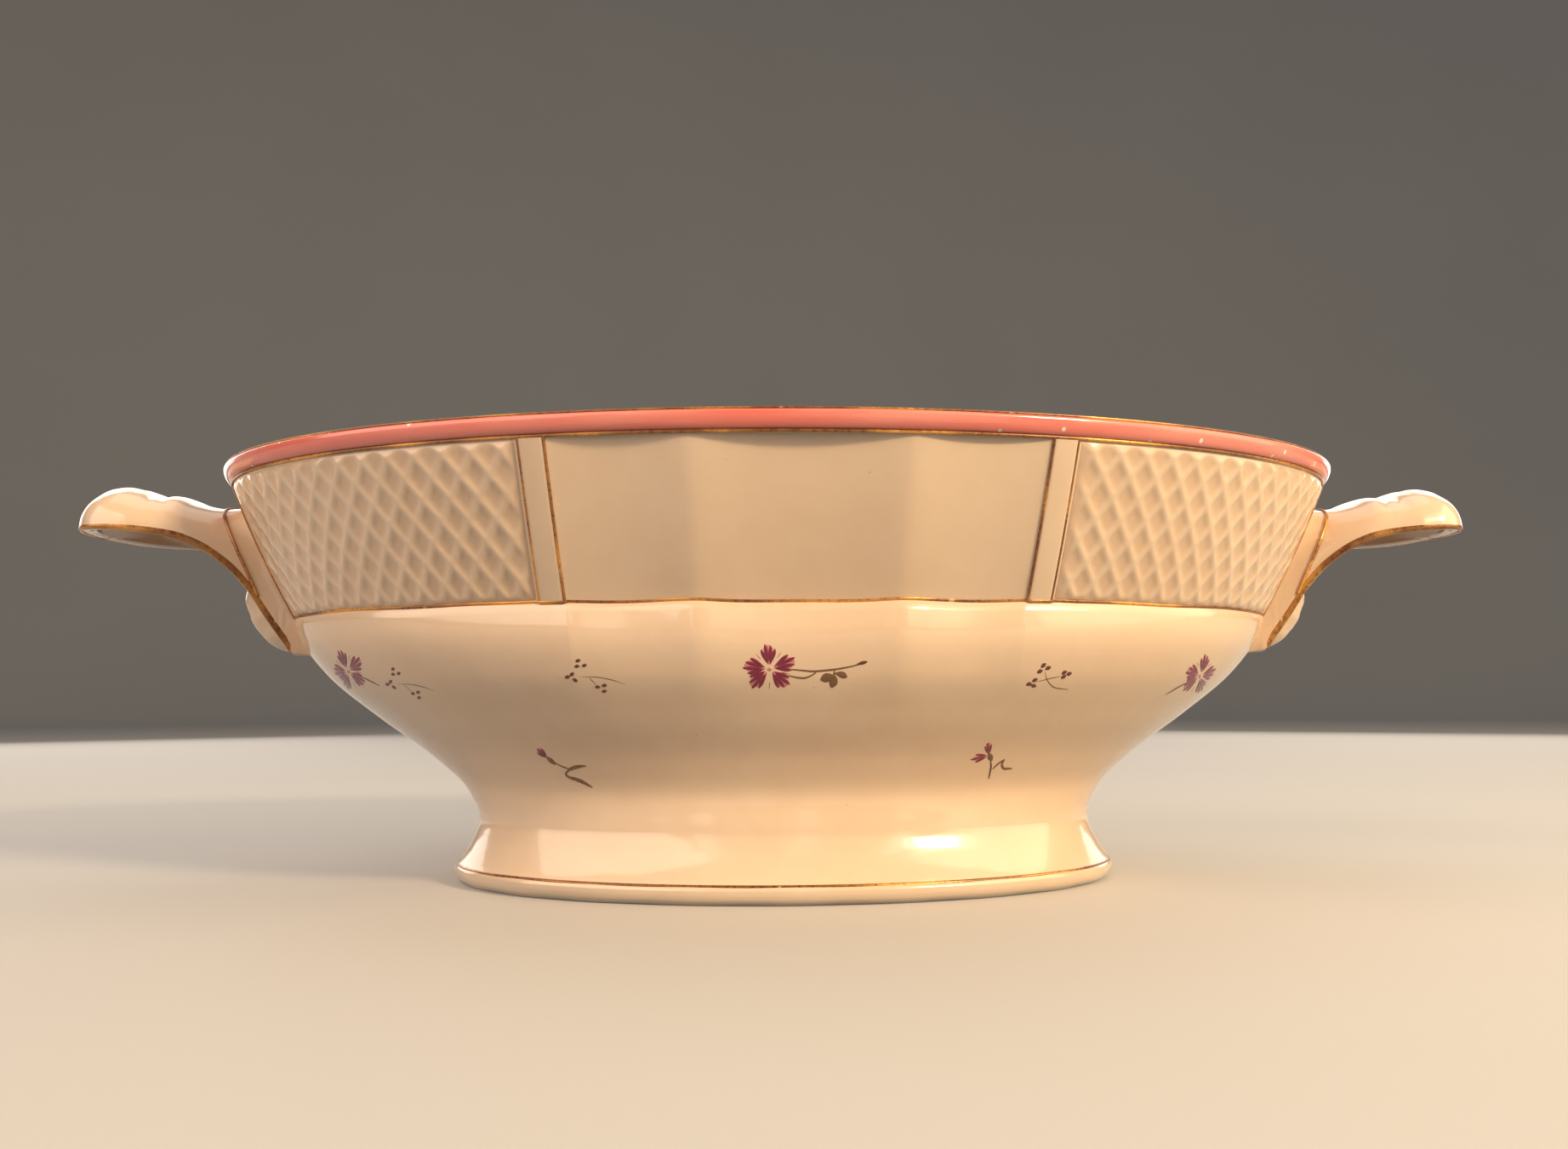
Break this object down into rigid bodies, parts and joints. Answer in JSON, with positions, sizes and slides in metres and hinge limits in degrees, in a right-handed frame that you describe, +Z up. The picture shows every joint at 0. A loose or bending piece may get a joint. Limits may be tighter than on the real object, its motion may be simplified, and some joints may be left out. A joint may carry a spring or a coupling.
{
  "type": "footed serving bowl",
  "caption": "Oval footed porcelain serving bowl with shell lug handles, coral rim band, gilded panel lines, lattice relief and small painted flower sprigs.",
  "frame": {"origin": "middle of the foot's resting plane, under the centre of the oval", "axes": "+X towards the right handle along the oval's long axis, +Y towards the back across the oval, +Z up out of the bowl's mouth; the front panel faces -Y"},
  "size_m": [0.3484, 0.1788, 0.1013],
  "materials": {
    "glaze": "glossy warm ivory glaze",
    "coral_enamel": "glossy coral enamel with small worn flecks",
    "gilding": "fired gold line, slightly worn",
    "foot_glaze": "glossy ivory glaze, bare biscuit on the resting ring"
  },
  "bodies": {
    "root": {"bowl_body": "glaze", "rim_band": "coral_enamel", "pedestal_foot": "foot_glaze", "handle_left": "glaze", "handle_right": "glaze", "handle_leaf_left": "glaze", "handle_leaf_right": "glaze", "gold_rim_upper": "gilding", "gold_rim_lower": "gilding", "gold_waist_line": "gilding", "gold_foot_line": "gilding"}
  },
  "joints": []
}
